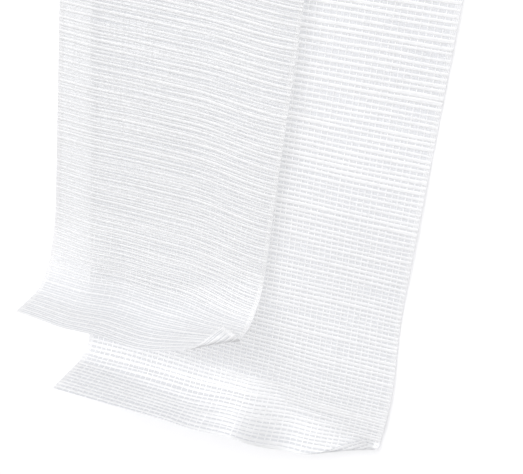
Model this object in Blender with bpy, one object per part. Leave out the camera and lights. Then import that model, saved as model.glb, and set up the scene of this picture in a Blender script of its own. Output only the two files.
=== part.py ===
"""Two cut lengths of gauze bandage, a narrow one lying over a wide one.

Each length is one thin sheet on the surface that it lies on.  Its lower end
stands up in a curl, and its lower right corner is folded back over itself.
The narrow sheet lies on the wide one, falls over its left edge to the
surface and lifts a little along its own right edge.

Units are metres and +Z is up.  The curled lower ends point along -Y, and the
origin is at the bottom centre of both sheets together.
"""

import math
from collections import namedtuple

import bmesh
import bpy
import numpy as np

MM = 0.001

# Driving sizes.
SHEET_THICKNESS = 1.0 * MM
LAYER_GAP = 0.4 * MM
WIDE_WIDTH = 75.0 * MM
WIDE_LENGTH = 200.0 * MM
NARROW_WIDTH = 53.4 * MM
NARROW_LENGTH = 170.0 * MM
NARROW_TURN = math.radians(1.8)

# Where the middle of each cut end would lie, were the sheet laid flat.  The
# wide sheet's centre line is x = 0 here.
WIDE_END = (0.0, -58.0 * MM)
NARROW_END = (-20.9 * MM, -34.8 * MM)

# The middle of the outline of both sheets, in the same place as the ends
# above.  It becomes the origin.
OUTLINE_MIDDLE = (-4.23 * MM, 45.06 * MM)

# How the narrow sheet lies: its crown over the wide sheet's left edge, its
# fall beside that edge, and the lift of its right edge.
CROWN_HEIGHT = 1.8 * MM
CROWN_REACH = 10.0 * MM
FALL_REACH = 8.5 * MM
LIFT_HEIGHT = 2.0 * MM
LIFT_REACH = 20.0 * MM

# The fall fades out where the lower end begins to stand up.
FALL_FADE_START = 12.0 * MM
FALL_FADE_REACH = 22.0 * MM

# Low waves of the slack cloth, which rise from where it touches.
WIDE_WAVE_HEIGHT = 0.6 * MM
WIDE_WAVE_START = 10.0 * MM
WIDE_WAVE_REACH = 15.0 * MM
NARROW_WAVE_HEIGHT = 0.3 * MM
WAVE_PITCH = 47.0 * MM
WAVE_SLANT = 0.35

# The edge flare of the wide sheet's lower right side.
FLARE = 1.3 * MM
FLARE_MIDDLE = 25.0 * MM
FLARE_REACH = 25.0 * MM

# Mesh steps: fine ones round the curl and the folded corner.
FINE_ROW = 1.2 * MM
FINE_ROWS = 24
FINE_COLUMN = 1.2 * MM

# One row for each place across a sheet, from its left edge (-1) to its right
# edge (1): the curl's radius, the angle it turns through, the straight lip
# above it, and how much shorter the cloth is cut there.
Curl = namedtuple("Curl", "across radius angle lip trim")

WIDE_CURL = (
    Curl(across=-1.0, radius=6.0 * MM, angle=95.0, lip=12.5 * MM, trim=0.0),
    Curl(across=-0.3, radius=8.0 * MM, angle=92.0, lip=7.8 * MM, trim=2.3 * MM),
    Curl(across=0.1, radius=11.0 * MM, angle=69.0, lip=6.0 * MM, trim=5.6 * MM),
    Curl(across=0.5, radius=14.0 * MM, angle=36.0, lip=3.0 * MM, trim=5.2 * MM),
    Curl(across=1.0, radius=16.0 * MM, angle=20.0, lip=1.0 * MM, trim=6.0 * MM),
)
NARROW_CURL = (
    Curl(across=-1.0, radius=7.5 * MM, angle=90.0, lip=7.1 * MM, trim=0.0),
    Curl(across=0.0, radius=8.3 * MM, angle=84.0, lip=6.1 * MM, trim=-0.5 * MM),
    Curl(across=1.0, radius=9.3 * MM, angle=93.0, lip=9.9 * MM, trim=4.5 * MM),
)

# A folded corner: the fold starts this far in along the cut end and climbs
# this far up the right edge, by a power of the distance.  The cloth turns
# round it with this radius, through this angle.
Fold = namedtuple("Fold", "along up power radius angle")

WIDE_FOLD = Fold(along=22.5 * MM, up=7.3 * MM, power=1.35, radius=1.1 * MM, angle=170.0)
NARROW_FOLD = Fold(along=12.9 * MM, up=6.9 * MM, power=1.28, radius=1.1 * MM, angle=172.0)

Sheet = namedtuple("Sheet", "name width length end turn curl fold colour")

WIDE = Sheet("wide_gauze", WIDE_WIDTH, WIDE_LENGTH, WIDE_END, 0.0,
             WIDE_CURL, WIDE_FOLD, (0.91, 0.92, 0.93))
NARROW = Sheet("narrow_gauze", NARROW_WIDTH, NARROW_LENGTH, NARROW_END, NARROW_TURN,
               NARROW_CURL, NARROW_FOLD, (0.93, 0.94, 0.95))

ROUGHNESS = 0.95
METALLIC = 0.0


def smooth_step(value):
    """Run from 0 to 1 with level ends as value goes from 0 to 1."""
    value = np.clip(value, 0.0, 1.0)
    return value * value * (3.0 - 2.0 * value)


def curl_value(sheet, u, column):
    """Read one column of a sheet's curl table at the distance u across."""
    across = np.array([row.across for row in sheet.curl])
    values = np.array([getattr(row, column) for row in sheet.curl])
    place = np.clip(u / (0.5 * sheet.width), -1.0, 1.0)
    left = np.clip(np.searchsorted(across, place, side="right") - 1, 0, len(across) - 2)
    share = (place - across[left]) / (across[left + 1] - across[left])
    return values[left] + (values[left + 1] - values[left]) * smooth_step(share)


def fold_corner(sheet, u, s):
    """Turn the cloth beyond the fold line back over the sheet.

    u is the distance across and s the distance up from the uncut end.  The
    result is the place on the unfolded sheet, and the height above it.
    """
    fold = sheet.fold
    start = 0.5 * sheet.width - fold.along
    share = np.clip((u - start) / fold.along, 1e-6, None)
    small = 0.05 * MM
    trim_slope = (curl_value(sheet, u + small, "trim") - curl_value(sheet, u - small, "trim")) / (2 * small)
    line = curl_value(sheet, u, "trim") + fold.up * share ** fold.power
    slope = trim_slope + fold.up / fold.along * fold.power * share ** (fold.power - 1.0)
    length = np.sqrt(1.0 + slope * slope)
    beyond = np.where(u > start, np.clip((line - s) / length, 0.0, None), 0.0)
    out_u = slope / length
    out_s = -1.0 / length
    turned = np.clip(beyond / fold.radius, 0.0, math.radians(fold.angle))
    straight = np.clip(beyond - fold.radius * math.radians(fold.angle), 0.0, None)
    reach = fold.radius * np.sin(turned) + straight * math.cos(math.radians(fold.angle))
    height = fold.radius * (1.0 - np.cos(turned)) + straight * math.sin(math.radians(fold.angle))
    return u + out_u * (reach - beyond), s + out_s * (reach - beyond), height


def curl_end(sheet, u, s, height):
    """Stand the lower end up: the distance up the strip and the height."""
    radius = curl_value(sheet, u, "radius")
    angle = np.radians(curl_value(sheet, u, "angle"))
    lip = curl_value(sheet, u, "lip") + curl_value(sheet, u, "trim")
    arc = lip + radius * angle
    turned = np.clip((arc - s) / radius, 0.0, angle)
    straight = np.clip(lip - s, 0.0, None)
    forward = radius * np.sin(turned) + straight * np.cos(angle)
    rise = radius * (1.0 - np.cos(turned)) + straight * np.sin(angle)
    along = np.where(s < arc, arc - forward, s)
    return along + height * np.sin(turned), rise + height * np.cos(turned)


def resting_height(sheet, x, y, s):
    """Height of the sheet's middle layer over the surface, without its curl."""
    wave = np.sin(math.pi * (y + WAVE_SLANT * x) / WAVE_PITCH) ** 2
    if sheet is WIDE:
        return 0.5 * SHEET_THICKNESS + WIDE_WAVE_HEIGHT * wave * smooth_step(
            (x - WIDE_WAVE_START) / WIDE_WAVE_REACH)
    wide_edge = -0.5 * WIDE_WIDTH
    right_edge = sheet.end[0] + 0.5 * sheet.width
    on_wide = 1.5 * SHEET_THICKNESS + LAYER_GAP
    crown = CROWN_HEIGHT * (1.0 - smooth_step((x - wide_edge) / CROWN_REACH))
    fall = (on_wide + CROWN_HEIGHT - 0.5 * SHEET_THICKNESS) * (
        1.0 - smooth_step((x - wide_edge + FALL_REACH) / FALL_REACH))
    fall = fall * smooth_step((s - FALL_FADE_START) / FALL_FADE_REACH)
    lift = LIFT_HEIGHT * smooth_step((x - right_edge + LIFT_REACH) / LIFT_REACH)
    ripple = NARROW_WAVE_HEIGHT * wave * smooth_step((x - wide_edge - CROWN_REACH) / CROWN_REACH)
    return on_wide + crown - fall + lift + ripple


def sheet_point(sheet, u, s):
    """Place points of a sheet's middle layer, given across it and up it."""
    u, s, height = fold_corner(sheet, u, s)
    along, rise = curl_end(sheet, u, s, height)
    if sheet is WIDE:
        side = np.clip(u / (0.5 * sheet.width), 0.0, 1.0) ** 2
        u = u + FLARE * side * (1.0 - smooth_step(np.abs(s - FLARE_MIDDLE) / FLARE_REACH))
    x = sheet.end[0] + u * math.cos(sheet.turn) + along * math.sin(sheet.turn)
    y = sheet.end[1] - u * math.sin(sheet.turn) + along * math.cos(sheet.turn)
    z = rise + resting_height(sheet, x, y, s)
    return np.stack([x - OUTLINE_MIDDLE[0], y - OUTLINE_MIDDLE[1], z], axis=-1)


def column_places(sheet):
    """Distances across the sheet, closer together round its folded corner."""
    half = 0.5 * sheet.width
    start = half - sheet.fold.along
    fine = round(sheet.fold.along / FINE_COLUMN)
    coarse = round((start + half) / (3.0 * FINE_COLUMN))
    return np.concatenate([np.linspace(-half, start, coarse, endpoint=False),
                           np.linspace(start, half, fine + 1)])


def row_places(sheet):
    """Distances up the sheet, closer together round its curled end."""
    fine_reach = FINE_ROWS * FINE_ROW
    coarse = round((sheet.length - fine_reach) / (10.0 * FINE_ROW))
    return np.concatenate([np.linspace(0.0, fine_reach, FINE_ROWS, endpoint=False),
                           np.linspace(fine_reach, sheet.length, coarse + 1)])


def build_mesh(sheet):
    """Make the middle layer of a sheet as a grid and bend it into place."""
    columns = column_places(sheet)
    rows = row_places(sheet)
    fine_reach = FINE_ROWS * FINE_ROW
    mesh = bpy.data.meshes.new(sheet.name)
    grid = bmesh.new()
    bmesh.ops.create_grid(grid, x_segments=len(columns) - 1, y_segments=len(rows) - 1, size=1.0)
    for vertex in grid.verts:
        column = round(0.5 * (vertex.co.x + 1.0) * (len(columns) - 1))
        row = round(0.5 * (vertex.co.y + 1.0) * (len(rows) - 1))
        u = columns[column]
        trim = curl_value(sheet, u, "trim")
        s = rows[row] + trim * max(0.0, 1.0 - rows[row] / fine_reach)
        vertex.co = sheet_point(sheet, u, s)
    grid.normal_update()
    grid.to_mesh(mesh)
    grid.free()
    mesh.shade_smooth()
    return mesh


def gauze_material(sheet):
    """Plain white cotton."""
    material = bpy.data.materials.new(sheet.name + "_cotton")
    material.use_nodes = True
    shader = material.node_tree.nodes["Principled BSDF"]
    shader.inputs["Base Color"].default_value = (*sheet.colour, 1.0)
    shader.inputs["Roughness"].default_value = ROUGHNESS
    shader.inputs["Metallic"].default_value = METALLIC
    return material


def build_sheet(sheet):
    """Add one sheet to the scene, thickened to both sides of its middle."""
    mesh = build_mesh(sheet)
    mesh.materials.append(gauze_material(sheet))
    obj = bpy.data.objects.new(sheet.name, mesh)
    bpy.context.scene.collection.objects.link(obj)
    thicken = obj.modifiers.new("thickness", "SOLIDIFY")
    thicken.thickness = SHEET_THICKNESS
    thicken.offset = 0.0
    return obj


def main():
    for obj in list(bpy.data.objects):
        bpy.data.objects.remove(obj, do_unlink=True)
    for sheet in (WIDE, NARROW):
        build_sheet(sheet)


main()
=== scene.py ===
"""Two overlapping cut lengths of gauze bandage, woven thread by thread.

Each length is a plain weave of flat, soft threads across it (wefts) and thin
threads along it (warps).  Every thread is a closed tube that passes over and
under the others, and a film of fine fuzz lies between them.  Its grey, darker
than the threads and darker still where the film is dense, is painted shade
for the gaps between the threads.  The cloth is laid out flat, and a set of
functions then bends it into the curls and folds in which it lies.

Units are metres and +Z is up.  The curled lower ends point along -Y.  On the
flat cloth, u is the distance across, from the middle towards the right edge,
and s is the distance up, from the lower end before its slanted cut.
"""

import math
from collections import namedtuple

import bpy
import numpy as np
from mathutils import Matrix


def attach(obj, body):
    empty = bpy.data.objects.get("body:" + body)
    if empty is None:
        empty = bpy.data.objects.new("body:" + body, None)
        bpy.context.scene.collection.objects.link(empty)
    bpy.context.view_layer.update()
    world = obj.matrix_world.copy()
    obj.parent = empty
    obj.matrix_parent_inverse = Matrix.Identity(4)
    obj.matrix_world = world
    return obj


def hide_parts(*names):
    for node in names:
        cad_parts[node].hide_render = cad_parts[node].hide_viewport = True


MM = 0.001

# One row for each place across a sheet, from its left edge (-1) to its right
# edge (1): the curl's radius, the degrees that it turns through, the straight
# lip above it, and how much shorter the cloth is cut there.
Curl = namedtuple("Curl", "across radius angle lip trim")

# A folded corner: the fold starts this far in along the cut end and climbs
# this far up the right edge, by a power of the distance.  The cloth turns
# round the radius through the angle, in degrees.
Fold = namedtuple("Fold", "along up power radius angle")

# A sheet's threads: their colour, and the share of a lamp's light that passes
# them without being scattered.
Cotton = namedtuple("Cotton", "colour straight")

# The fuzz between them: its colour, a grey darker than the threads that is
# painted shade for the gaps, the share of what lies behind that it covers at its
# thinnest and thickest, the share of a lamp's light that still passes where it
# covers, and the share of its colour kept where it is dense, which is more
# painted shade.
Fuzz = namedtuple("Fuzz", "colour thinnest thickest straight dense_shade")

# One cut length.  end is where the middle of its lower end would lie, were it
# laid flat, and turn is how far it is turned clockwise, in radians.
# weft_pitch holds pairs of a distance up the sheet and the spacing of the
# wefts there.  Every second weft is thinner by thin_share, and the others are
# as much thicker.
Sheet = namedtuple("Sheet", (
    "name", "width", "length", "end", "turn", "curl", "fold", "weft_pitch",
    "weft_half_width", "warp_half_width", "thin_share", "cotton", "fuzz", "seed"))

# The sizes, places, curls and folds are those of the solids that the sheets
# replace.
WIDE = Sheet(
    name="wide_gauze",
    width=75.0 * MM,
    length=200.0 * MM,
    end=(0.0, -58.0 * MM),
    turn=0.0,
    curl=(
        Curl(across=-1.0, radius=6.0 * MM, angle=95.0, lip=12.5 * MM, trim=0.0),
        Curl(across=-0.3, radius=8.0 * MM, angle=92.0, lip=7.8 * MM, trim=2.3 * MM),
        Curl(across=0.1, radius=11.0 * MM, angle=69.0, lip=6.0 * MM, trim=5.6 * MM),
        Curl(across=0.5, radius=14.0 * MM, angle=36.0, lip=3.0 * MM, trim=5.2 * MM),
        Curl(across=1.0, radius=16.0 * MM, angle=20.0, lip=1.0 * MM, trim=6.0 * MM),
    ),
    fold=Fold(along=22.5 * MM, up=7.3 * MM, power=1.35, radius=1.1 * MM, angle=170.0),
    weft_pitch=(
        (0.0, 1.36 * MM),
        (13.0 * MM, 1.28 * MM),
        (24.0 * MM, 1.08 * MM),
        (55.0 * MM, 1.14 * MM),
        (90.0 * MM, 1.21 * MM),
        (130.0 * MM, 1.26 * MM),
    ),
    weft_half_width=0.36 * MM,
    warp_half_width=0.10 * MM,
    thin_share=0.0,
    cotton=Cotton(colour=(0.84, 0.84, 0.84), straight=0.75),
    fuzz=Fuzz(colour=(0.68, 0.69, 0.71), thinnest=0.62, thickest=0.92,
              straight=0.9, dense_shade=0.87),
    seed=11,
)
NARROW = Sheet(
    name="narrow_gauze",
    width=53.4 * MM,
    length=170.0 * MM,
    end=(-20.9 * MM, -34.8 * MM),
    turn=math.radians(1.8),
    curl=(
        Curl(across=-1.0, radius=7.5 * MM, angle=90.0, lip=7.1 * MM, trim=0.0),
        Curl(across=0.0, radius=8.3 * MM, angle=84.0, lip=6.1 * MM, trim=-0.5 * MM),
        Curl(across=1.0, radius=9.3 * MM, angle=93.0, lip=9.9 * MM, trim=4.5 * MM),
    ),
    fold=Fold(along=12.9 * MM, up=6.9 * MM, power=1.28, radius=1.1 * MM, angle=172.0),
    weft_pitch=(
        (0.0, 0.70 * MM),
        (10.0 * MM, 0.66 * MM),
        (20.0 * MM, 0.58 * MM),
        (45.0 * MM, 0.73 * MM),
        (110.0 * MM, 0.84 * MM),
    ),
    weft_half_width=0.19 * MM,
    warp_half_width=0.05 * MM,
    thin_share=0.40,
    cotton=Cotton(colour=(0.78, 0.78, 0.78), straight=0.88),
    fuzz=Fuzz(colour=(0.69, 0.70, 0.718), thinnest=0.26, thickest=0.52,
              straight=0.95, dense_shade=0.82),
    seed=23,
)

# Each sheet's threads are split into these pieces, from its lower end up.
PARTS = ("end", "middle", "top")

# The solids' thickness, the gap between them, and the middle of the outline
# of both, which is put at the origin.
SHEET_THICKNESS = 1.0 * MM
LAYER_GAP = 0.4 * MM
OUTLINE_MIDDLE = (-4.23 * MM, 45.06 * MM)

# How the narrow sheet lies over the wide sheet's left edge: it crowns over
# the edge, and lifts at its own right edge.  Above its curl it settles: its
# crown is lower, it falls to the surface beyond the edge, and it sinks a
# little where it lies on the wide sheet.
CROWN_HEIGHT = 1.8 * MM
CROWN_REACH = 10.0 * MM
CROWN_SETTLED = 0.15
FALL_REACH = 8.5 * MM
LIFT_HEIGHT = 2.0 * MM
LIFT_REACH = 20.0 * MM
SETTLE_DEPTH = 1.1 * MM
SETTLE_START = 12.0 * MM
SETTLE_REACH = 22.0 * MM

# Low waves of the slack cloth, and the flare of the wide sheet's right side.
WAVE_PITCH = 47.0 * MM
WAVE_SLANT = 0.35
WIDE_WAVE_HEIGHT = 0.6 * MM
WIDE_WAVE_START = 10.0 * MM
WIDE_WAVE_REACH = 15.0 * MM
NARROW_WAVE_HEIGHT = 0.3 * MM
FLARE = 1.3 * MM
FLARE_MIDDLE = 25.0 * MM
FLARE_REACH = 25.0 * MM

# Slopes are found between two points this far to each side.
SLOPE_STEP = 0.05 * MM

# The least share of a fold's distance along that its power is taken of.
LEAST_SHARE = 1e-6

# The threads along.  A few lie close together at each side edge, and they are
# wider than the others.  The half height is for one of the usual size, and
# none is more than WARP_MOST_HEIGHT times as high.
WARP_PITCH = 1.38 * MM
WARP_HALF_HEIGHT = 0.045 * MM
WARP_MOST_HEIGHT = 1.2
WARP_RISE = 0.015 * MM
WARP_SIDES = 4
WARP_FEWEST_CROSSINGS = 2
EDGE_PITCH = 0.32 * MM
EDGE_WARPS = 3
EDGE_INSET = 0.15 * MM
EDGE_WARP_HALF_WIDTH = 0.12 * MM

# The threads across.  The first lies its margin from the lower end, and the
# last at least its own margin from the far end, in shares of a pitch.  Near
# the lower end they fan out to run along the slanted cut.  They are thinner
# in the curl and where they lie close, and a little thicker where they lie
# wide apart, within two limits.
WEFT_HALF_HEIGHT = 0.09 * MM
WEFT_RISE = 0.012 * MM
WEFT_SIDES = 6
WEFT_FEWEST_CROSSINGS = 3
WEFT_COUNT_STEP = 0.1 * MM
FIRST_WEFT_MARGIN = 0.5
LAST_WEFT_MARGIN = 0.3
WEFT_TRIM_REACH = 22.0 * MM
CURL_THINNING = 0.16
CURL_THINNING_START = 18.0 * MM
CURL_THINNING_REACH = 15.0 * MM
CLOSE_WEFT_SIZE = 0.8
SPACED_WEFT_SIZE = 1.05

# How uneven the weave is.  A pair of reaches is in threads: how far an
# unevenness carries on to the neighbouring warps and wefts.  It is blurred
# over BLUR_REACHES times as many to each side.  The warps drift less within
# EDGE_HOLD_REACH of the side edges.
WEFT_SPACING_SPREAD = 0.045
WEFT_DRIFT = 0.20 * MM
WEFT_DRIFT_REACH = (9, 12)
WEFT_WANDER = 0.055 * MM
WEFT_WANDER_REACH = (3, 0)
WARP_DRIFT = 0.20 * MM
WARP_DRIFT_REACH = (5, 10)
WARP_WANDER = 0.07 * MM
WARP_WANDER_REACH = (0, 3)
EDGE_HOLD_REACH = 6.0 * MM
THICKNESS_SPREAD = 0.11
SLUB_SPREAD = 0.16
WEFT_SLUB_REACH = (2, 0)
WARP_SLUB_REACH = (0, 2)
NO_REACH = (0, 0)
BLUR_REACHES = 3

# Loose fibres that stand off the threads.  Their headings are in radians from
# straight across, and their arch is a stretch of half a sine wave.
FIBRES_PER_SQUARE_MM = 0.12
FIBRE_RADIUS = 0.022 * MM
FIBRE_START = 0.1 * MM
FIBRE_HEIGHT = (0.1 * MM, 0.45 * MM)
FIBRE_ARCH = (0.2, 0.9)
FIBRE_STEP = (0.25 * MM, 0.8 * MM)
FIBRE_HEADING_SPREAD = 0.7
FIBRE_BEND_SPREAD = 0.5
FIBRE_SIDES = 3
FIBRE_POINTS = 5

# The film of fine fuzz between the threads, with closer columns of points at
# its side edges.  It is dense in the curl, up to a share of the curled
# length, and where the narrow sheet has no wide sheet behind it, in the
# camera's line of sight, which leans sideways by so much for each step
# down.  Where it is dense it hides the bright floor behind it and is painted
# darker, as shade.
FILM_STEP = 0.9 * MM
FILM_EDGE_INSETS = (1.3 * MM, 1.0 * MM, 0.5 * MM, 0.0)
FILM_TRIM_REACH = 29.0 * MM
CURL_DENSITY_AND_PAINTED_SHADE = 0.9
CURL_DENSE_SHARE = 0.6
OVERHANG_DENSITY_AND_PAINTED_SHADE = 0.6
OVERHANG_FADE = 2.5 * MM
OVERHANG_LEAN = 0.27

# The materials.  Noise scales are in patches to the metre, and most of a
# noise pattern's values lie between the low and the high one.
NOISE_LOW = 0.3
NOISE_HIGH = 0.7
COTTON_ROUGHNESS = 0.95
COTTON_SPECULAR = 0.15
PATCH_SCALE = 900.0
PATCH_DETAIL = 3.0
PATCH_SHADE = 0.94
RELIEF_SCALE = 6000.0
RELIEF_DETAIL = 2.0
RELIEF_STRENGTH = 0.5
RELIEF_DEPTH = 0.05 * MM
FUZZ_SCALE = 2500.0
FUZZ_DETAIL = 4.0
FORWARD_SHARE = 0.35
MATT_ROUGHNESS = 1.0
MATT_SPECULAR = 0.0

# The sockets of a Mix node that mixes colours.
MIX_FACTOR = 0
MIX_FIRST_COLOUR = 6
MIX_SECOND_COLOUR = 7
MIX_COLOUR_RESULT = 2

# The floor, the pale room, and the round lamps.  They face the origin, and
# their tops point along LAMP_TOP as far as they can.
FLOOR_HALF_SIZE = 2.0
FLOOR_COLOUR = (0.84, 0.84, 0.84)
ROOM_COLOUR = (0.975, 0.975, 1.0)
ROOM_STRENGTH = 0.65
Lamp = namedtuple("Lamp", "name place size power colour")
LAMPS = (
    Lamp("main", place=(-0.20, 0.60, 0.66), size=0.7, power=5.4, colour=(1.0, 0.99, 0.975)),
    Lamp("broad", place=(-0.35, 1.15, 1.25), size=3.0, power=25.0, colour=(0.97, 0.975, 1.0)),
)
LAMP_TOP = (0.0, 1.0, 0.1)

# The camera, found from the photograph's outlines.
IMAGE_WIDTH_PX = 523.0
FOCAL_LENGTH_PX = 937.83
SENSOR_WIDTH = 36.0
CAMERA_PLACE = (0.05597, 0.05390, 0.17642)
CAMERA_RIGHT = (0.94711848, 0.09163533, -0.30752163)
CAMERA_UP = (-0.22321892, 0.87662645, -0.42626209)
CAMERA_BACK = (0.23052093, 0.47236535, 0.85072385)
CLIP_START = 0.01
CLIP_END = 20.0


def smooth_step(value):
    """Run from 0 to 1 with level ends as value goes from 0 to 1."""
    value = np.clip(value, 0.0, 1.0)
    return value * value * (3.0 - 2.0 * value)


def unit(vectors):
    """The vectors, each at length 1."""
    return vectors / np.linalg.norm(vectors, axis=-1, keepdims=True)


# --- The shape in which each sheet lies ---


def curl_value(sheet, u, column):
    """Read one column of a sheet's curl table at the distance u across."""
    across = np.array([row.across for row in sheet.curl])
    values = np.array([getattr(row, column) for row in sheet.curl])
    place = np.clip(u / (0.5 * sheet.width), -1.0, 1.0)
    left = np.clip(np.searchsorted(across, place, side="right") - 1, 0, len(across) - 2)
    share = (place - across[left]) / (across[left + 1] - across[left])
    return values[left] + (values[left + 1] - values[left]) * smooth_step(share)


def fold_corner(sheet, u, s):
    """Turn the cloth beyond the fold line back over the sheet.

    The result is the place on the unfolded sheet, and the height above it.
    """
    fold = sheet.fold
    angle = math.radians(fold.angle)
    start = 0.5 * sheet.width - fold.along
    share = np.clip((u - start) / fold.along, LEAST_SHARE, None)
    trim_rise = curl_value(sheet, u + SLOPE_STEP, "trim") - curl_value(sheet, u - SLOPE_STEP, "trim")
    trim_slope = trim_rise / (2.0 * SLOPE_STEP)
    line = curl_value(sheet, u, "trim") + fold.up * share ** fold.power
    slope = trim_slope + fold.up / fold.along * fold.power * share ** (fold.power - 1.0)
    length = np.sqrt(1.0 + slope * slope)
    beyond = np.where(u > start, np.clip((line - s) / length, 0.0, None), 0.0)
    out_u = slope / length
    out_s = -1.0 / length
    turned = np.clip(beyond / fold.radius, 0.0, angle)
    straight = np.clip(beyond - fold.radius * angle, 0.0, None)
    reach = fold.radius * np.sin(turned) + straight * math.cos(angle)
    height = fold.radius * (1.0 - np.cos(turned)) + straight * math.sin(angle)
    return u + out_u * (reach - beyond), s + out_s * (reach - beyond), height


def curl_end(sheet, u, s, height):
    """Stand the lower end up: the distance up the strip and the height."""
    radius = curl_value(sheet, u, "radius")
    angle = np.radians(curl_value(sheet, u, "angle"))
    lip = curl_value(sheet, u, "lip") + curl_value(sheet, u, "trim")
    arc = lip + radius * angle
    turned = np.clip((arc - s) / radius, 0.0, angle)
    straight = np.clip(lip - s, 0.0, None)
    forward = radius * np.sin(turned) + straight * np.cos(angle)
    rise = radius * (1.0 - np.cos(turned)) + straight * np.sin(angle)
    along = np.where(s < arc, arc - forward, s)
    return along + height * np.sin(turned), rise + height * np.cos(turned)


def resting_height(sheet, x, y, s):
    """Height of the sheet's middle layer over the surface, without its curl."""
    wave = np.sin(math.pi * (y + WAVE_SLANT * x) / WAVE_PITCH) ** 2
    if sheet is WIDE:
        return 0.5 * SHEET_THICKNESS + WIDE_WAVE_HEIGHT * wave * smooth_step(
            (x - WIDE_WAVE_START) / WIDE_WAVE_REACH)
    wide_edge = -0.5 * WIDE.width
    right_edge = sheet.end[0] + 0.5 * sheet.width
    settled = smooth_step((s - SETTLE_START) / SETTLE_REACH)
    lifted = smooth_step((x - right_edge + LIFT_REACH) / LIFT_REACH)
    on_wide = 1.5 * SHEET_THICKNESS + LAYER_GAP - SETTLE_DEPTH * settled * (1.0 - lifted)
    crown_height = CROWN_HEIGHT * (1.0 - (1.0 - CROWN_SETTLED) * settled)
    crown = crown_height * (1.0 - smooth_step((x - wide_edge) / CROWN_REACH))
    fall = (on_wide + crown_height - 0.5 * SHEET_THICKNESS) * settled * (
        1.0 - smooth_step((x - wide_edge + FALL_REACH) / FALL_REACH))
    ripple = NARROW_WAVE_HEIGHT * wave * smooth_step((x - wide_edge - CROWN_REACH) / CROWN_REACH)
    return on_wide + crown - fall + LIFT_HEIGHT * lifted + ripple


def sheet_point(sheet, u, s):
    """Place points of the flat cloth on the middle layer of the lying sheet."""
    u, s, height = fold_corner(sheet, u, s)
    along, rise = curl_end(sheet, u, s, height)
    if sheet is WIDE:
        side = np.clip(u / (0.5 * sheet.width), 0.0, 1.0) ** 2
        u = u + FLARE * side * (1.0 - smooth_step(np.abs(s - FLARE_MIDDLE) / FLARE_REACH))
    x = sheet.end[0] + u * math.cos(sheet.turn) + along * math.sin(sheet.turn)
    y = sheet.end[1] - u * math.sin(sheet.turn) + along * math.cos(sheet.turn)
    z = rise + resting_height(sheet, x, y, s)
    return np.stack([x - OUTLINE_MIDDLE[0], y - OUTLINE_MIDDLE[1], z], axis=-1)


def sheet_frame(sheet, u, s):
    """Points of the middle layer, and the unit normal of its upper face."""
    across = sheet_point(sheet, u + SLOPE_STEP, s) - sheet_point(sheet, u - SLOPE_STEP, s)
    up = sheet_point(sheet, u, s + SLOPE_STEP) - sheet_point(sheet, u, s - SLOPE_STEP)
    return sheet_point(sheet, u, s), unit(np.cross(across, up))


# --- The weave, laid out flat ---


def smooth_noise(rng, shape, reach):
    """Random values of unit spread, blurred over reach (rows, columns)."""
    values = rng.standard_normal(shape)
    for axis, spread in enumerate(reach):
        if spread > 0:
            margin = BLUR_REACHES * spread
            steps = np.arange(-margin, margin + 1)
            weights = np.exp(-0.5 * (steps / spread) ** 2)
            padding = [(0, 0), (0, 0)]
            padding[axis] = (margin, margin)
            padded = np.pad(values, padding, mode="reflect")
            values = np.apply_along_axis(np.convolve, axis, padded, weights, "valid")
    return values / values.std()


def follow_cut(sheet, u, s, reach):
    """How far rows at s shift up the cloth to run along its slanted cut.

    The shift is whole at the lower end and fades out over reach.
    """
    return curl_value(sheet, u, "trim") * np.clip(1.0 - s / reach, 0.0, None)


def warp_places(sheet):
    """Distances across of the threads along the sheet, closer at its edges."""
    edge = 0.5 * sheet.width - EDGE_INSET
    inner = edge - EDGE_WARPS * EDGE_PITCH
    count = round(2.0 * inner / WARP_PITCH)
    closer = inner + EDGE_PITCH * np.arange(1, EDGE_WARPS + 1)
    return np.concatenate([-closer[::-1], np.linspace(-inner, inner, count + 1), closer])


def weft_places(sheet, rng):
    """Distances up the sheet of the threads across it, unevenly spaced."""
    at, pitch = np.array(sheet.weft_pitch).T
    steps = np.arange(0.0, sheet.length, WEFT_COUNT_STEP)
    count = np.cumsum(WEFT_COUNT_STEP / np.interp(steps, at, pitch))
    wanted = np.arange(FIRST_WEFT_MARGIN, count[-1] - LAST_WEFT_MARGIN)
    wanted = wanted + WEFT_SPACING_SPREAD * rng.standard_normal(len(wanted))
    return np.interp(wanted, count, steps)


def weft_sizes(sheet, rng, shape, wefts):
    """How thick each weft is at its crossings, as a share of the usual."""
    size = (1.0 + THICKNESS_SPREAD * smooth_noise(rng, (1, shape[1]), NO_REACH)
            + SLUB_SPREAD * smooth_noise(rng, shape, WEFT_SLUB_REACH))
    spacing = np.gradient(wefts)
    size *= np.clip(spacing / spacing.mean(), CLOSE_WEFT_SIZE, SPACED_WEFT_SIZE)
    above_curl = smooth_step((wefts - CURL_THINNING_START) / CURL_THINNING_REACH)
    size *= 1.0 - CURL_THINNING * (1.0 - above_curl)
    size[:, 0::2] *= 1.0 + sheet.thin_share
    size[:, 1::2] *= 1.0 - sheet.thin_share
    return size


def warp_sizes(sheet, rng, shape):
    """How thick each warp is at its crossings, as a share of the usual."""
    size = (1.0 + THICKNESS_SPREAD * smooth_noise(rng, (shape[0], 1), NO_REACH)
            + SLUB_SPREAD * smooth_noise(rng, shape, WARP_SLUB_REACH))
    size[:EDGE_WARPS] = EDGE_WARP_HALF_WIDTH / sheet.warp_half_width
    size[-EDGE_WARPS:] = EDGE_WARP_HALF_WIDTH / sheet.warp_half_width
    return size


# Where each warp (row) crosses each weft (column), whether the weft passes
# over it (1) or under it (-1), and how thick both are there.
Weave = namedtuple("Weave", "u s over weft_size warp_size")


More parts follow.
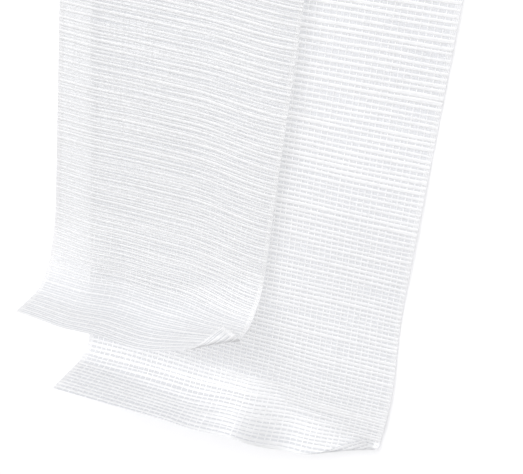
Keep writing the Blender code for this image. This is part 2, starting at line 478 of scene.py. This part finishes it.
def lay_out_weave(sheet, rng):
    """Find a sheet's crossings.  Its warps drift less near its side edges."""
    warps = warp_places(sheet)
    wefts = weft_places(sheet, rng)
    shape = (len(warps), len(wefts))
    warp_drift = (WARP_DRIFT * smooth_noise(rng, shape, WARP_DRIFT_REACH)
                  + WARP_WANDER * smooth_noise(rng, shape, WARP_WANDER_REACH))
    weft_drift = (WEFT_DRIFT * smooth_noise(rng, shape, WEFT_DRIFT_REACH)
                  + WEFT_WANDER * smooth_noise(rng, shape, WEFT_WANDER_REACH))
    near_edge = smooth_step((np.abs(warps) - 0.5 * sheet.width + EDGE_HOLD_REACH) / EDGE_HOLD_REACH)
    u = warps[:, None] + warp_drift * (1.0 - near_edge)[:, None]
    s = wefts[None, :] + follow_cut(sheet, u, wefts[None, :], WEFT_TRIM_REACH) + weft_drift
    over = (np.arange(shape[0])[:, None] + np.arange(shape[1])[None, :]) % 2 * 2 - 1
    weft_size = weft_sizes(sheet, rng, shape, wefts)
    warp_size = warp_sizes(sheet, rng, shape)
    return Weave(u, s, over, weft_size, warp_size)


# --- Threads, loose fibres and fuzz ---


def add_object(name, data):
    """Put a mesh, lamp or camera into the scene."""
    added = bpy.data.objects.new(name, data)
    bpy.context.scene.collection.objects.link(added)
    return added


class Tubes:
    """Gathers closed tubes into one mesh."""

    def __init__(self):
        self.points = []
        self.faces = []
        self.count = 0

    def add(self, centres, normals, half_width, half_height, sides):
        """Add tubes of one length in points, flattened along the normals.

        The arrays hold tubes by points, and centres and normals a vector each.
        """
        tubes, length = half_width.shape
        tangents = unit(np.gradient(centres, axis=1))
        sideways = unit(np.cross(normals, tangents))
        upright = np.cross(tangents, sideways)
        angles = 2.0 * math.pi * np.arange(sides)[:, None] / sides
        ring = (np.cos(angles) * sideways[:, :, None] * half_width[:, :, None, None]
                + np.sin(angles) * upright[:, :, None] * half_height[:, :, None, None])
        self.points.append((centres[:, :, None] + ring).reshape(-1, 3))
        corner = self.count + np.arange(tubes * length * sides).reshape(tubes, length, sides)
        following = np.roll(corner, -1, axis=2)
        quads = np.stack([corner[:, :-1], following[:, :-1], following[:, 1:], corner[:, 1:]], axis=-1)
        self.faces.extend(quads.reshape(-1, 4).tolist())
        self.faces.extend(corner[:, 0, ::-1].tolist())
        self.faces.extend(corner[:, -1].tolist())
        self.count += corner.size

    def build(self, name):
        """Make the mesh and put it into the scene."""
        mesh = bpy.data.meshes.new(name)
        mesh.from_pydata(np.concatenate(self.points), [], self.faces)
        mesh.update()
        return add_object(name, mesh)


def runs_of(kept):
    """The stretches of neighbouring True values, as pairs of first and last."""
    places = np.flatnonzero(kept)
    if len(places) == 0:
        return []
    breaks = np.flatnonzero(np.diff(places) > 1)
    firsts = np.concatenate([places[:1], places[breaks + 1]])
    lasts = np.concatenate([places[breaks], places[-1:]])
    return list(zip(firsts, lasts))


def between(values):
    """Put the mean of each two neighbours between them."""
    values = np.asarray(values, float)
    filled = np.empty(2 * len(values) - 1)
    filled[0::2] = values
    filled[1::2] = 0.5 * (values[1:] + values[:-1])
    return filled


def add_thread(tubes, sheet, u, s, height, half_width, half_height, sides):
    """Add one thread, height above these points of the cloth's middle layer."""
    points, normals = sheet_frame(sheet, u, s)
    centres = points + height[:, None] * normals
    tubes.add(centres[None], normals[None], half_width[None], half_height[None], sides)


def add_weft(tubes, sheet, weave, column):
    """Add one thread across, in the stretches that the slanted cut leaves."""
    u, s = weave.u[:, column], weave.s[:, column]
    for first, last in runs_of(s > curl_value(sheet, u, "trim")):
        if last - first + 1 < WEFT_FEWEST_CROSSINGS:
            continue
        run = slice(first, last + 1)
        height = between(WEFT_RISE * weave.over[run, column])
        size = between(weave.weft_size[run, column])
        add_thread(tubes, sheet, between(u[run]), between(s[run]), height,
                   sheet.weft_half_width * size, WEFT_HALF_HEIGHT * size, WEFT_SIDES)


def add_warp(tubes, sheet, weave, row, columns):
    """Add the stretch of one thread along the sheet over these wefts.

    The lowest stretch starts at the cut.
    """
    u, s = weave.u[row, columns], weave.s[row, columns]
    cut = curl_value(sheet, u, "trim")
    kept = s > cut
    if kept.sum() < WARP_FEWEST_CROSSINGS:
        return
    path_u, path_s = between(u[kept]), between(s[kept])
    height = between(-WARP_RISE * weave.over[row, columns][kept])
    size = between(weave.warp_size[row, columns][kept])
    if columns.start == 0:
        path_u = np.insert(path_u, 0, path_u[0])
        path_s = np.insert(path_s, 0, cut[kept][0])
        height = np.insert(height, 0, 0.0)
        size = np.insert(size, 0, size[0])
    half_height = WARP_HALF_HEIGHT * np.minimum(size, WARP_MOST_HEIGHT)
    add_thread(tubes, sheet, path_u, path_s, height,
               sheet.warp_half_width * size, half_height, WARP_SIDES)


def add_fibres(tubes, sheet, rng, low, high):
    """Scatter loose fibres over the sheet between two distances up it."""
    count = round(FIBRES_PER_SQUARE_MM * sheet.width * (high - low) / MM ** 2)
    start_u = rng.uniform(-0.5, 0.5, (count, 1)) * sheet.width
    start_s = rng.uniform(low, high, (count, 1))
    heading = rng.normal(0.0, FIBRE_HEADING_SPREAD, (count, 1))
    heading += math.pi * rng.integers(0, 2, (count, 1))
    bend = rng.normal(0.0, FIBRE_BEND_SPREAD, (count, 1))
    headings = heading + bend * np.arange(FIBRE_POINTS - 1)
    step = rng.uniform(*FIBRE_STEP, (count, 1))
    nothing = np.zeros((count, 1))
    u = start_u + np.concatenate([nothing, np.cumsum(step * np.cos(headings), axis=1)], axis=1)
    s = start_s + np.concatenate([nothing, np.cumsum(step * np.sin(headings), axis=1)], axis=1)
    arch = np.sin(np.linspace(*FIBRE_ARCH, FIBRE_POINTS) * math.pi)
    height = FIBRE_START + rng.uniform(*FIBRE_HEIGHT, (count, 1)) * arch
    on_cloth = (s > curl_value(sheet, u, "trim")) & (s < sheet.length) & (np.abs(u) < 0.5 * sheet.width)
    inside = np.all(on_cloth, axis=1)
    u, s, height = u[inside], s[inside], height[inside]
    points, normals = sheet_frame(sheet, u, s)
    radius = np.full(u.shape, FIBRE_RADIUS)
    tubes.add(points + height[:, :, None] * normals, normals, radius, radius, FIBRE_SIDES)


def stand_for(piece, sheet, material):
    """Give a piece its material, and let it take the place of a CAD sheet."""
    piece.data.materials.append(material)
    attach(piece, "root")
    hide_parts(sheet.name)


def build_threads(sheet, material):
    """Weave one length, in parts one above the other up the strip.

    The warps of each part reach to the first weft of the next.
    """
    rng = np.random.default_rng(sheet.seed)
    weave = lay_out_weave(sheet, rng)
    warps, wefts = weave.u.shape
    pieces = []
    for index, part in enumerate(PARTS):
        first, last = wefts * index // len(PARTS), wefts * (index + 1) // len(PARTS)
        tubes = Tubes()
        for column in range(first, last):
            add_weft(tubes, sheet, weave, column)
        for row in range(warps):
            add_warp(tubes, sheet, weave, row, slice(first, min(last + 1, wefts)))
        add_fibres(tubes, sheet, rng, sheet.length * first / wefts, sheet.length * last / wefts)
        piece = tubes.build(sheet.name + "_" + part)
        stand_for(piece, sheet, material)
        pieces.append(piece)
    return pieces


def fuzz_density_and_painted_shade(sheet, u, s, height):
    """How much the fuzz covers at the least, from 0 to 1; the same value sets how far painted shade
    darkens the fuzz.
    """
    curled = curl_value(sheet, u, "radius") * np.radians(curl_value(sheet, u, "angle"))
    dense_length = CURL_DENSE_SHARE * (curl_value(sheet, u, "lip") + curled)
    dense = CURL_DENSITY_AND_PAINTED_SHADE * (1.0 - smooth_step((s - dense_length) / dense_length))
    if sheet is NARROW:
        past_edge = OVERHANG_LEAN * height - 0.5 * WIDE.width - sheet.end[0] - u
        dense = np.maximum(dense, OVERHANG_DENSITY_AND_PAINTED_SHADE * smooth_step(past_edge / OVERHANG_FADE + 0.5))
    return dense


def build_fuzz(sheet, material):
    """The fine fuzz that the threads hold between them, as one thin film, which carries painted shade
    for the gaps.
    """
    edges = 0.5 * sheet.width - np.array(FILM_EDGE_INSETS)
    inner = np.linspace(-edges[0], edges[0], round(2.0 * edges[0] / FILM_STEP) + 1)
    columns = np.concatenate([-edges[:0:-1], inner, edges[1:]])
    rows = np.linspace(0.0, sheet.length, round(sheet.length / FILM_STEP) + 1)
    u, s = np.meshgrid(columns, rows, indexing="ij")
    s = s + follow_cut(sheet, u, s, FILM_TRIM_REACH)
    points = sheet_point(sheet, u, s)
    corner = np.arange(u.size).reshape(u.shape)
    quads = np.stack([corner[:-1, :-1], corner[1:, :-1], corner[1:, 1:], corner[:-1, 1:]], axis=-1)
    mesh = bpy.data.meshes.new(sheet.name + "_fuzz")
    mesh.from_pydata(points.reshape(-1, 3), [], quads.reshape(-1, 4).tolist())
    # The dense mask also sets how much painted shade darkens the fuzz.
    dense = fuzz_density_and_painted_shade(sheet, u, s, points[..., 2])
    mesh.attributes.new("dense", "FLOAT", "POINT").data.foreach_set("value", dense.ravel())
    mesh.shade_smooth()
    piece = add_object(sheet.name + "_fuzz", mesh)
    stand_for(piece, sheet, material)
    return piece


# --- Materials ---


def opaque(colour, shade=1.0):
    """A colour times shade, as a node's socket wants it."""
    return (*[shade * value for value in colour], 1.0)


def start_material(name, roughness, specular):
    """A new material and its main shader."""
    material = bpy.data.materials.new(name)
    material.use_nodes = True
    shader = material.node_tree.nodes["Principled BSDF"]
    shader.inputs["Roughness"].default_value = roughness
    shader.inputs["Specular IOR Level"].default_value = specular
    return material, shader


def add_noise(material, place, scale, detail):
    """A noise pattern that is fixed to the piece."""
    noise = material.node_tree.nodes.new("ShaderNodeTexNoise")
    noise.inputs["Scale"].default_value = scale
    noise.inputs["Detail"].default_value = detail
    material.node_tree.links.new(place.outputs["Object"], noise.inputs["Vector"])
    return noise


def let_light_through(material, shader, colour, straight):
    """Let light come through from the other side, scattered and straight.

    A share of the surface scatters the light forward, and straight is how
    much of a lamp's light passes it without being scattered.
    """
    nodes, links = material.node_tree.nodes, material.node_tree.links
    through = nodes.new("ShaderNodeBsdfTranslucent")
    through.inputs["Color"].default_value = opaque(colour)
    mix = nodes.new("ShaderNodeMixShader")
    mix.inputs["Fac"].default_value = FORWARD_SHARE
    passed = nodes.new("ShaderNodeBsdfTransparent")
    passed.inputs["Color"].default_value = opaque((straight, straight, straight))
    path = nodes.new("ShaderNodeLightPath")
    surface = nodes.new("ShaderNodeMixShader")
    links.new(shader.outputs["BSDF"], mix.inputs[1])
    links.new(through.outputs["BSDF"], mix.inputs[2])
    links.new(path.outputs["Is Shadow Ray"], surface.inputs["Fac"])
    links.new(mix.outputs["Shader"], surface.inputs[1])
    links.new(passed.outputs["BSDF"], surface.inputs[2])
    return surface


def cotton_material(sheet):
    """Soft white cotton thread with small uneven patches and fibre relief."""
    cotton = sheet.cotton
    material, shader = start_material(sheet.name + "_cotton", COTTON_ROUGHNESS, COTTON_SPECULAR)
    nodes, links = material.node_tree.nodes, material.node_tree.links
    place = nodes.new("ShaderNodeTexCoord")
    patches = add_noise(material, place, PATCH_SCALE, PATCH_DETAIL)
    ramp = nodes.new("ShaderNodeValToRGB")
    darker, lighter = ramp.color_ramp.elements
    darker.position = NOISE_LOW
    darker.color = opaque(cotton.colour, PATCH_SHADE)
    lighter.position = NOISE_HIGH
    lighter.color = opaque(cotton.colour)
    relief = add_noise(material, place, RELIEF_SCALE, RELIEF_DETAIL)
    bump = nodes.new("ShaderNodeBump")
    bump.inputs["Strength"].default_value = RELIEF_STRENGTH
    bump.inputs["Distance"].default_value = RELIEF_DEPTH
    surface = let_light_through(material, shader, cotton.colour, cotton.straight)
    links.new(patches.outputs["Fac"], ramp.inputs["Fac"])
    links.new(ramp.outputs["Color"], shader.inputs["Base Color"])
    links.new(relief.outputs["Fac"], bump.inputs["Height"])
    links.new(bump.outputs["Normal"], shader.inputs["Normal"])
    links.new(surface.outputs["Shader"], nodes["Material Output"].inputs["Surface"])
    return material


def fuzz_painted_shade_material(sheet):
    """Thin grey fuzz, denser in some places than in others; its grey, and the darker grey where it is
    dense, are painted shade.
    """
    fuzz = sheet.fuzz
    material, shader = start_material(sheet.name + "_fuzz", MATT_ROUGHNESS, MATT_SPECULAR)
    nodes, links = material.node_tree.nodes, material.node_tree.links
    place = nodes.new("ShaderNodeTexCoord")
    density = add_noise(material, place, FUZZ_SCALE, FUZZ_DETAIL)
    share = nodes.new("ShaderNodeMapRange")
    share.inputs["From Min"].default_value = NOISE_LOW
    share.inputs["From Max"].default_value = NOISE_HIGH
    share.inputs["To Min"].default_value = fuzz.thinnest
    share.inputs["To Max"].default_value = fuzz.thickest
    dense = nodes.new("ShaderNodeAttribute")
    dense.attribute_name = "dense"
    # Painted shade: where the dense mask is high, the fuzz colour is darkened to a share of itself.
    painted_shade_mix = nodes.new("ShaderNodeMix")
    painted_shade_mix.data_type = "RGBA"
    painted_shade_mix.inputs[MIX_FIRST_COLOUR].default_value = opaque(fuzz.colour)
    painted_shade_mix.inputs[MIX_SECOND_COLOUR].default_value = opaque(fuzz.colour, fuzz.dense_shade)
    cover = nodes.new("ShaderNodeMath")
    cover.operation = "MAXIMUM"
    surface = let_light_through(material, shader, fuzz.colour, fuzz.straight)
    clear = nodes.new("ShaderNodeBsdfTransparent")
    film = nodes.new("ShaderNodeMixShader")
    links.new(density.outputs["Fac"], share.inputs["Value"])
    links.new(share.outputs["Result"], cover.inputs[0])
    links.new(dense.outputs["Fac"], cover.inputs[1])
    links.new(dense.outputs["Fac"], painted_shade_mix.inputs[MIX_FACTOR])
    links.new(painted_shade_mix.outputs[MIX_COLOUR_RESULT], shader.inputs["Base Color"])
    links.new(cover.outputs["Value"], film.inputs["Fac"])
    links.new(clear.outputs["BSDF"], film.inputs[1])
    links.new(surface.outputs["Shader"], film.inputs[2])
    links.new(film.outputs["Shader"], nodes["Material Output"].inputs["Surface"])
    return material


# --- Surroundings ---


def build_floor():
    """A plain white surface under the cloth."""
    half = FLOOR_HALF_SIZE
    corners = [(-half, -half, 0.0), (half, -half, 0.0), (half, half, 0.0), (-half, half, 0.0)]
    mesh = bpy.data.meshes.new("floor")
    mesh.from_pydata(corners, [], [(0, 1, 2, 3)])
    material, shader = start_material("floor_white", MATT_ROUGHNESS, MATT_SPECULAR)
    shader.inputs["Base Color"].default_value = opaque(FLOOR_COLOUR)
    mesh.materials.append(material)
    floor = add_object("floor", mesh)


def world_matrix(right, up, back, place):
    """The matrix of an object with these three axes, at this place."""
    rows = [list(row) for row in zip(right, up, back, place)]
    return Matrix(rows + [[0.0, 0.0, 0.0, 1.0]])


def build_lights():
    """Broad soft lamps at the upper left, and pale light all round."""
    for lamp in LAMPS:
        light = bpy.data.lights.new(lamp.name, "AREA")
        light.shape = "DISK"
        light.size = lamp.size
        light.energy = lamp.power
        light.color = lamp.colour
        back = unit(np.array(lamp.place))
        right = unit(np.cross(LAMP_TOP, back))
        up = np.cross(back, right)
        add_object(lamp.name, light).matrix_world = world_matrix(right, up, back, lamp.place)
    world = bpy.data.worlds.new("pale_room")
    world.use_nodes = True
    background = world.node_tree.nodes["Background"]
    background.inputs["Color"].default_value = opaque(ROOM_COLOUR)
    background.inputs["Strength"].default_value = ROOM_STRENGTH
    bpy.context.scene.world = world


def build_camera():
    """The photograph's viewing angle."""
    data = bpy.data.cameras.new("camera")
    data.sensor_width = SENSOR_WIDTH
    data.lens = FOCAL_LENGTH_PX * SENSOR_WIDTH / IMAGE_WIDTH_PX
    data.clip_start = CLIP_START
    data.clip_end = CLIP_END
    camera = add_object("camera", data)
    camera.matrix_world = world_matrix(CAMERA_RIGHT, CAMERA_UP, CAMERA_BACK, CAMERA_PLACE)
    bpy.context.scene.camera = camera


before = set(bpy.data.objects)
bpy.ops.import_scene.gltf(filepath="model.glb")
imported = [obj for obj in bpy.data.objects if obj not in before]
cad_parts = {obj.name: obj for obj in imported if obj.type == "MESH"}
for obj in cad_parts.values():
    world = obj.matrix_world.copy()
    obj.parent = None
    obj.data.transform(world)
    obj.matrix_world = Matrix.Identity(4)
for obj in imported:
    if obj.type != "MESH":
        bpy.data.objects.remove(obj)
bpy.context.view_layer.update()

build_camera()
build_lights()
build_floor()
wide_threads = build_threads(WIDE, cotton_material(WIDE))
narrow_threads = build_threads(NARROW, cotton_material(NARROW))
wide_fuzz = build_fuzz(WIDE, fuzz_painted_shade_material(WIDE))
build_fuzz(NARROW, fuzz_painted_shade_material(NARROW))

scene = bpy.context.scene
scene.view_settings.view_transform = "Standard"
scene.view_settings.look = "None"
scene.view_settings.exposure = 0.0
